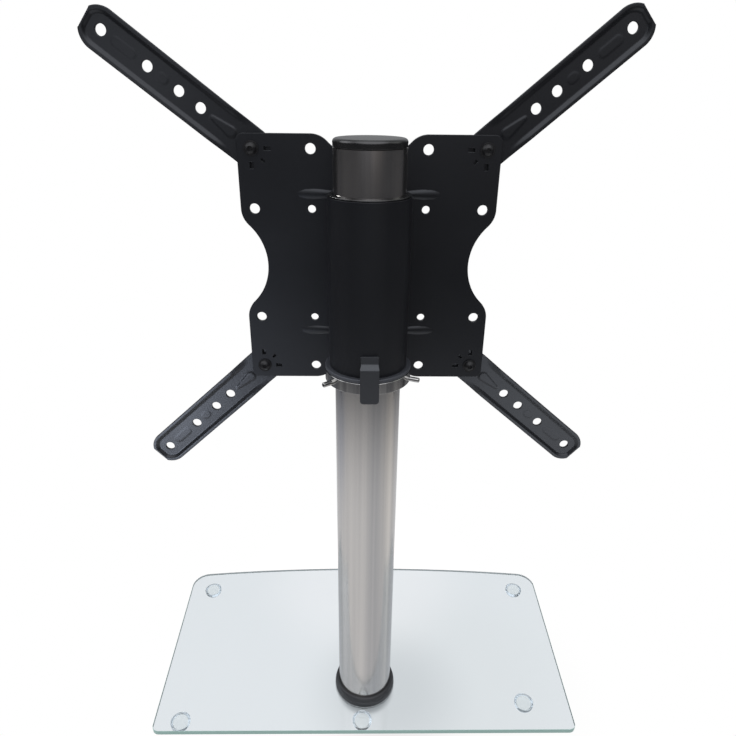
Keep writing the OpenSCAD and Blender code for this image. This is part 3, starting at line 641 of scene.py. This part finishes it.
def armHeight(s, t):
    # How far the sheet is pressed out at s along the arm and t across it
    a = armSettings
    half, tip = a["width"] / 2, a["holes"][3]
    edge = half - abs(t)
    if s > tip:
        edge = min(half - math.hypot(s - tip, t), tip + a["end"] - s + a["endShift"])
    rise = ease((a["rimFlat"] + a["slope"] - edge) / a["slope"])
    height = a["rim"] * rise * ease((math.hypot(s, t * a["rampRound"]) - a["rampStart"]) / a["rimRamp"])
    if s < a["rimStart"]:
        height = 0.0
    for start, stop, w0, w1, lift in a["beads"]:
        length = stop - start - w0 - w1
        along = max(0.0, min(1.0, (s - start - w0) / length))
        wide = w0 + (w1 - w0) * along
        away = math.hypot(s - (start + w0 + length * along), t) / wide
        if away < 1:
            height = max(height, lift * ease(wide * (1 - away) / a["beadSlope"]))
    return height


def armOutline(inset):
    # Half of the arm's outline, from the round end at the pivot to the cut end
    a = armSettings
    half, tip = a["width"] / 2 - inset, a["holes"][3]
    points = []
    for k in range(21):
        back, out = polar(half, k * 4.5)
        points.append((-back, out))
    points += [(tip * k / 180, half) for k in range(1, 180)]
    last = 90 - math.degrees(math.acos(a["end"] / (a["width"] / 2)))
    for k in range(26):
        out, ahead = polar(half, last * k / 26)
        points.append((tip + ahead, out))
    far = a["end"] - inset
    points.append((tip + far, math.sqrt(half ** 2 - far ** 2)))
    return points


def buildArm():
    # One arm along +X with its pivot at the origin
    a = armSettings
    rows = [-1 + e / a["reach"] for e in a["rows"]] + [1 - e / a["reach"] for e in reversed(a["rows"][:-1])]
    corner = []
    for angle in (0, 30, 60, 90):
        across, along = polar(a["round"], angle)
        corner.append((a["round"] - along, a["round"] - across))
    work = bmesh.new()

    def place(s, t, y):
        return work.verts.new((s, y, t))

    outlines = [armOutline(inset) for inset, drop in corner]
    columns = []
    for k, (s0, w0) in enumerate(outlines[0]):
        near = [(s0, w0 * r, -armHeight(s0, w0 * r)) for r in rows]
        lip = -armHeight(s0, w0)
        wall = [(outlines[n][k], corner[n][1]) for n in range(1, 4)]
        loop = [place(s, t, y) for s, t, y in near]
        loop += [place(s, w, lip + drop) for (s, w), drop in wall]
        loop += [place(s, w, lip + a["thick"] - drop) for (s, w), drop in reversed(wall)]
        loop += [place(s, t, y + a["thick"]) for s, t, y in reversed(near)]
        loop += [place(s, -w, lip + a["thick"] - drop) for (s, w), drop in wall]
        loop += [place(s, -w, lip + drop) for (s, w), drop in reversed(wall)]
        columns.append(loop)
    size, n = len(columns[0]), len(rows)
    for low, high in zip(columns, columns[1:]):
        for k in range(size):
            j = (k + 1) % size
            work.faces.new((low[k], low[j], high[j], high[k]))
    last = columns[-1]
    for k in range(n - 1):
        work.faces.new((last[k], last[k + 1], last[2 * n + 4 - k], last[2 * n + 5 - k]))
    work.faces.new(last[n - 1:n + 7])
    work.faces.new(last[2 * n + 5:] + [last[0]])
    mesh = bpy.data.meshes.new("channel")
    work.to_mesh(mesh)
    work.free()
    piece = bpy.data.objects.new("channel", mesh)
    bpy.context.scene.collection.objects.link(piece)
    applyPlace(piece)
    tidyMesh()
    drills = [drill((0, 0, 0), a["pivotRadius"], 0.03)]
    drills += [drill((s, 0, 0), a["holeRadius"], 0.03) for s in a["holes"]]
    combine(piece, drills)
    return piece


def buildArms():
    a = armSettings
    channel = buildArm()
    for body, (side, level, angle) in a["arms"].items():
        turn = math.radians(level * angle if side > 0 else 180 - level * angle)
        pivot = (side * pivotReach, a["face"], plateMiddle + level * pivotReach)
        piece = copyOf(channel, pieceName(body, "Channel"), pivot, -turn)
        finishPiece(piece, [finishes["black_coat"]], body, body + "_arm", 50)
    bpy.data.objects.remove(channel)
    print("arms made:", len(a["arms"]))


# Bracket

plateSettings = {
    "half": 0.112, "thick": 0.003, "rear": -0.030, "corner": 0.006, "bevel": 0.0005,
    "lobe": 0.020, "lobeX": 0.05, "scallop": 0.050,
    "notch": (0.0187, -0.080),  # half width and top of the notch behind the collar
    "holes": ((0.05, 0.05, 0.0035), (0.1, 0.05, 0.0045), (0.05, 0.1, 0.0045), (0.1, 0.1, 0.0032)),
    "slots": (  # angle round the pivot, distance from it, length, width
        (0, 0.01375, 0.0055, 0.0034), (45, 0.01375, 0.0039, 0.0021), (90, 0.01375, 0.0055, 0.0034)),
    "rib": {"place": (0.043, 0.063), "reach": 0.0200, "wide": 0.0040, "lift": 0.0011, "deep": 0.0040,
            "taper": 1.10, "sunk": 0.001}}


def plateArcs():
    # One side's corner, lobes and scallop, turned to all four sides
    p = plateSettings
    c, lobeX, lobeZ = p["half"] - p["corner"], p["lobeX"], p["half"] - p["lobe"]
    scallopZ = lobeZ + math.sqrt((p["lobe"] + p["scallop"]) ** 2 - lobeX ** 2)
    meet = math.degrees(math.atan2(scallopZ - lobeZ, -lobeX))
    side = [(c, c, p["corner"], 0, 90, 8), (lobeX, lobeZ, p["lobe"], 90, meet, 16),
            (0, scallopZ, p["scallop"], meet - 180, -meet, 40), (-lobeX, lobeZ, p["lobe"], 180 - meet, 90, 16)]
    arcs = []
    for turn in (0, 90, 180, 270):
        cos, sin = (round(part) for part in polar(1, turn))
        for u, v, radius, start, end, steps in side:
            arcs.append((u * cos - v * sin, u * sin + v * cos, radius, start + turn, end + turn, steps))
    return arcs


def plateRibs():
    # A long low dome, narrower towards the sleeve, cut flat inside the plate and copied
    p, r = plateSettings, plateSettings["rib"]
    depth = r["deep"] - r["lift"]
    spread = math.sqrt(1 - (depth / r["deep"]) ** 2)
    deselectAll()
    bpy.ops.mesh.primitive_uv_sphere_add(segments=64, ring_count=32, radius=1, location=(0, 0, 0),
                                         scale=(r["reach"] / spread, r["deep"], r["wide"] / spread))
    rib = bpy.context.object
    applyPlace(rib)
    addModifier(rib, "SIMPLE_DEFORM", deform_method="TAPER", deform_axis="X", factor=r["taper"], lock_y=True)
    bpy.ops.object.mode_set(mode="EDIT")
    bpy.ops.mesh.select_all(action="SELECT")
    bpy.ops.mesh.bisect(plane_co=(0, r["sunk"] - depth, 0), plane_no=(0, 1, 0), clear_outer=True, use_fill=True)
    bpy.ops.object.mode_set(mode="OBJECT")
    ribs = []
    for sx in (-1, 1):
        for sz in (-1, 1):
            place = (sx * r["place"][0], p["rear"] + depth, plateMiddle + sz * r["place"][1])
            ribs.append(copyOf(rib, "rib", place, 0.0 if sx > 0 else math.pi))
    bpy.data.objects.remove(rib)
    return ribs


def plateCutters():
    p = plateSettings
    y = p["rear"] + p["thick"] / 2
    wide, top = p["notch"]
    tools = [block((0, y, plateMiddle + (top - p["half"]) / 2 - 0.005), (2 * wide, cutDepth, p["half"] + top + 0.01))]
    for sx in (-1, 1):
        for sz in (-1, 1):
            for x, z, radius in p["holes"]:
                tools.append(drill((sx * x, y, plateMiddle + sz * z), radius, cutDepth))
            for angle, away, length, width in p["slots"]:
                x, z = polar(away, angle)
                place = (sx * (pivotReach - x), y, plateMiddle + sz * (pivotReach - z))
                tools.append(block(place, (length, cutDepth, width), -sx * sz * math.radians(angle)))
    return tools


def buildPlate():
    p = plateSettings
    piece = drawOutline("scallopedPlate", plateArcs(), lambda u, v: (u, p["rear"], plateMiddle + v), (0, -1, 0))
    thicken(piece, (0, p["thick"], 0))
    applyPlace(piece)
    combine(piece, plateCutters())
    roundEdges(piece, p["bevel"], 40)
    combine(piece, plateRibs(), "UNION")
    finishPiece(piece, [finishes["black_coat"]], "bracket", "vesa_plate", 30)
    print("plate made:", len(piece.data.polygons), "faces")


strapSettings = {
    "middle": 0.001, "wide": 0.0165, "topWide": 0.014, "thick": 0.002, "front": 0.0416,
    "sleeve": 0.035, "sleeveBottom": 0.437, "sunk": 0.001,
    "top": 0.021, "shoulder": 0.0145, "low": 0.0105, "lean": 0.0008, "drop": 0.0215,  # heights from the sleeve's end
    "bend": 0.0024, "corner": 0.003, "round": 0.0004,
    "taper": ((0.012, 0.907), (0.019, 0.936)),  # above each height the strap is made this much narrower
    "weld": 0.0010, "weldSteps": 14}


def weldBeads():
    t = strapSettings
    count = t["weldSteps"]
    length = t["top"] - t["shoulder"] - 0.0006
    ripple = []
    for k in range(count + 1):
        radius = t["weld"] * (0.55 if k in (0, count) else 0.92 + 0.13 * (k % 2))
        ripple.append((radius, t["sleeveBottom"] + t["shoulder"] + length * k / count))
    bead = turned("weld", ripple, (0, 0), 16)
    applyPlace(bead)
    beads = []
    for side in (-1, 1):
        x = t["middle"] + side * t["topWide"] / 2
        y = poleAxis[1] - math.sqrt(t["sleeve"] ** 2 - x ** 2) - 0.0002
        beads.append(copyOf(bead, "weld", (x, y, 0)))
    bpy.data.objects.remove(bead)
    return beads


def buildStrap():
    t = strapSettings
    axisY, z0 = poleAxis[1], t["sleeveBottom"]
    flat, back, root = t["sleeve"] + t["thick"], t["front"] - t["thick"], t["sunk"] - t["sleeve"]
    points = [(-flat, t["top"]), (-flat - t["lean"], t["shoulder"]), (-t["front"], t["low"]),
              (-t["front"], -t["drop"]), (-back, -t["drop"]), (-back, t["low"] - t["lean"]),
              (root, t["shoulder"] - t["sunk"]), (root, t["top"])]
    arcs = cornerArcs(points, (0, t["bend"], t["bend"], 0, 0, t["bend"] / 2, 0, 0), 6)
    left = t["middle"] - t["wide"] / 2
    piece = drawOutline("hookedStrap", arcs, lambda u, v: (left, axisY + u, z0 + v), (1, 0, 0))
    thicken(piece, (t["wide"], 0, 0))
    applyPlace(piece)
    for height, scale in t["taper"]:
        pick(piece, "VERT", lambda vertex: vertex.co.z > z0 + height)
        bpy.ops.transform.resize(value=(scale, 1, 1), center_override=(t["middle"], 0, 0))
        bpy.ops.object.mode_set(mode="OBJECT")
    mesh = piece.data

    def isLowCorner(edge):
        one, two = (mesh.vertices[k].co for k in edge.vertices)
        low = z0 - t["drop"]
        return abs(one.z - low) < 1e-5 and abs(two.z - low) < 1e-5 and abs(one.x - two.x) < 1e-5

    pick(piece, "EDGE", isLowCorner)
    bpy.ops.mesh.bevel(offset=t["corner"], segments=8, affect="EDGES")
    bpy.ops.object.mode_set(mode="OBJECT")
    combine(piece, [drill((0, axisY, z0 + t["top"] / 2), t["sleeve"], 0.06, tip=0, steps=180)])
    roundEdges(piece, t["round"], 50)
    combine(piece, weldBeads(), "UNION")
    finishPiece(piece, [strapCoatPaintedLighter], "bracket", "swivel_stop", 40)
    print("strap made")


lipSettings = {"bore": 0.0301, "lip": 0.034, "thick": 0.0015, "inner": 0.032, "lead": 0.0005, "leadHeight": 0.001,
               "round": 0.0004}


def buildLip():
    t = lipSettings
    low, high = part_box("upper_bush")
    half = t["thick"] / 2
    profile = [(t["bore"], low[2]), (t["bore"], high[2] - t["round"]), (t["bore"] + t["round"], high[2])]
    for angle in range(90, -91, -12):
        out, up = polar(half, angle)
        profile.append((t["lip"] - half + out, high[2] - half + up))
    profile += [(t["inner"], high[2] - t["thick"]), (t["inner"], low[2] + t["leadHeight"]),
                (t["inner"] - t["lead"], low[2])]
    piece = turned("roundedLip", profile, poleAxis, 144, closed=True)
    finishPiece(piece, [finishes["black_plastic"]], "bracket", "upper_bush")
    print("lip made")


collarSettings = {"bore": 0.03008, "radius": 0.039, "bevel": 0.0003, "inner": 0.0004,
                  "pinHole": 0.00231, "pinDepth": 0.016, "pins": (-143, -23)}


def buildCollar():
    t = collarSettings
    low, high = (corner[2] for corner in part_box("locking_collar"))
    bore, radius, bevel, inner = t["bore"], t["radius"], t["bevel"], t["inner"]
    profile = [(bore + inner, low), (radius - bevel, low), (radius, low + bevel), (radius, high - bevel),
               (radius - bevel, high), (bore + inner, high), (bore, high - inner), (bore, low + inner)]
    piece = turned("turnedCollar", profile, poleAxis, 180, closed=True)
    applyPlace(piece)
    tidyMesh()
    drills = []
    for angle in t["pins"]:
        x, y = polar(radius - 0.004, angle)
        place = (x, poleAxis[1] + y, (low + high) / 2)
        drills.append(drill(place, t["pinHole"], t["pinDepth"], turn=angle - 90))
    combine(piece, drills)
    finishPiece(piece, [finishes["turned_stainless"]], "collar", "locking_collar")
    print("collar made")


capSettings = {
    "bottom": 0.6225, "height": 0.0076, "radius": 0.030, "round": 0.0036, "roundHeight": 0.0030, "gap": 0.00002,
    "skirt": 0.0284, "skirtWall": 0.002, "skirtLength": 0.016, "skirtLead": 0.001,
    "shoulder": ((0.0009, 0.00002), (0.0006, 0.0005), (0.0002, 0.0008)),  # inset and height above the pole
    "crown": 0.0003, "crownRings": ((0.018, 0.65), (0.008, 0.95))}


def buildCap():
    c = capSettings
    z0, skirt, inner = c["bottom"], c["skirt"], c["skirt"] - c["skirtWall"]
    low, top = z0 - c["skirtLength"], z0 + c["height"] - c["crown"]
    profile = [(inner * 0.4, z0 + c["gap"]), (inner, z0 + c["gap"]), (inner, low), (skirt - c["skirtLead"], low),
               (skirt, low + c["skirtLead"]), (skirt, z0 + c["gap"])]
    profile += [(c["radius"] - inset, z0 + height) for inset, height in c["shoulder"]]
    for angle in range(0, 90, 6):
        out, up = polar(1, angle)
        profile.append((c["radius"] - c["round"] + c["round"] * out ** 0.9,
                        top - c["roundHeight"] + c["roundHeight"] * up))
    profile.append((c["radius"] - c["round"], top))
    profile += [(radius, top + c["crown"] * part) for radius, part in c["crownRings"]]
    piece = turned("roundedPlug", profile, poleAxis, 128)
    finishPiece(piece, [finishes["black_plastic"]], "stand", "pole_cap")
    print("plug made")


# Stage, light and camera

def rayDepth(tree, kind):
    path = addNode(tree, "ShaderNodeLightPath")
    over = addNode(tree, "ShaderNodeMath", operation="GREATER_THAN")
    over.inputs[1].default_value = 0.5
    tree.links.new(path.outputs[kind], over.inputs[0])
    return over.outputs["Value"]


def bySeeing(tree, plain, mirrored, soft):
    # Seen straight, seen in a shiny surface, or only lighting something
    colour = mixColours(tree, rayDepth(tree, "Glossy Depth"), plain, mirrored)
    return mixColours(tree, rayDepth(tree, "Diffuse Depth"), colour, soft)


def addRegions(tree, direction, settings):
    # Adds each region's level round a point of the floor, or towards a direction of the room
    total = settings["base"]
    for region in settings["regions"]:
        onFloor = "centre" in region
        measure = addNode(tree, "ShaderNodeVectorMath", operation="DISTANCE" if onFloor else "DOT_PRODUCT")
        target = (*region["centre"], 0) if onFloor else Vector(region["towards"]).normalized()
        measure.inputs[1].default_value = target
        tree.links.new(direction, measure.inputs[0])
        fade = addNode(tree, "ShaderNodeMapRange", interpolation_type="SMOOTHSTEP")
        fade.inputs["From Min"].default_value = region["edge"]
        fade.inputs["From Max"].default_value = region["full"]
        tree.links.new(measure.outputs["Value"], fade.inputs["Value"])
        add = addNode(tree, "ShaderNodeMix", data_type="RGBA", blend_type=region.get("blend", "ADD"))
        tree.links.new(fade.outputs["Result"], add.inputs["Factor"])
        if isinstance(total, tuple):
            add.inputs["A"].default_value = (*total, 1)
        else:
            tree.links.new(total, add.inputs["A"])
        add.inputs["B"].default_value = (*region["level"], 1)
        total = add.outputs["Result"]
    return total


def buildStage():
    deselectAll()
    bpy.ops.mesh.primitive_plane_add(size=14, location=(0, 0, 0))
    floor = bpy.context.object
    floor.name = "paleFloor"
    material, tree, shader = newMaterial("paleFloor")
    space = addNode(tree, "ShaderNodeTexCoord").outputs["Object"]
    glow = addNode(tree, "ShaderNodeEmission", Strength=1.0)
    mirrored = addRegions(tree, space, floorGlow)
    plain = addRegions(tree, space, floorShade)
    tree.links.new(bySeeing(tree, plain, mirrored, floorGlow["soft"]), glow.inputs["Color"])
    tree.links.new(glow.outputs["Emission"], tree.nodes["Material Output"].inputs["Surface"])
    tree.nodes.remove(shader)
    floor.data.materials.append(material)


def buildWorld():
    world = bpy.data.worlds.new("studio")
    bpy.context.scene.world = world
    world.use_nodes = True
    tree = world.node_tree
    tree.nodes.clear()
    out = addNode(tree, "ShaderNodeOutputWorld")
    direction = addNode(tree, "ShaderNodeTexCoord").outputs["Generated"]
    mirrored = addRegions(tree, direction, room)
    sky = addNode(tree, "ShaderNodeBackground", Strength=1.0)
    tree.links.new(bySeeing(tree, (1.0, 1.0, 1.0), mirrored, room["soft"]), sky.inputs["Color"])
    tree.links.new(sky.outputs["Background"], out.inputs["Surface"])


def buildLights():
    for name, light in lights.items():
        lamp = bpy.data.lights.new(name, "AREA")
        lamp.shape = "RECTANGLE"
        lamp.size, lamp.size_y = light["size"]
        lamp.energy = light["watts"]
        lamp.color = light.get("tint", (1, 1, 1))
        holder = bpy.data.objects.new(name, lamp)
        holder.location = light["place"]
        holder.visible_glossy = "only" in light
        holder.visible_transmission = False
        aim = Vector(light["aim"]) - Vector(light["place"])
        holder.rotation_euler = aim.to_track_quat("-Z", "Y").to_euler()
        bpy.context.scene.collection.objects.link(holder)
        if "only" in light:
            lit = bpy.data.collections.new(name + "Lit")
            lit.objects.link(standIns[light["only"]])
            holder.light_linking.receiver_collection = lit
            holder.visible_camera = False


def buildCamera():
    c = cameraSettings
    camera = bpy.data.cameras.new("camera")
    camera.sensor_width = c["sensor"]
    camera.lens = c["lens"]
    camera.clip_start = c["near"]
    holder = bpy.data.objects.new("camera", camera)
    holder.location = c["place"]
    holder.rotation_euler = [math.radians(angle) for angle in c["turn"]]
    bpy.context.scene.collection.objects.link(holder)
    bpy.context.scene.camera = holder


buildGlass()
buildFeet()
buildWasher()
buildArms()
buildPlate()
buildStrap()
buildLip()
buildCollar()
buildCap()
buildStage()
buildWorld()
buildLights()
buildCamera()
bpy.context.scene.view_settings.view_transform = "Standard"
print("stage, lights and camera set")
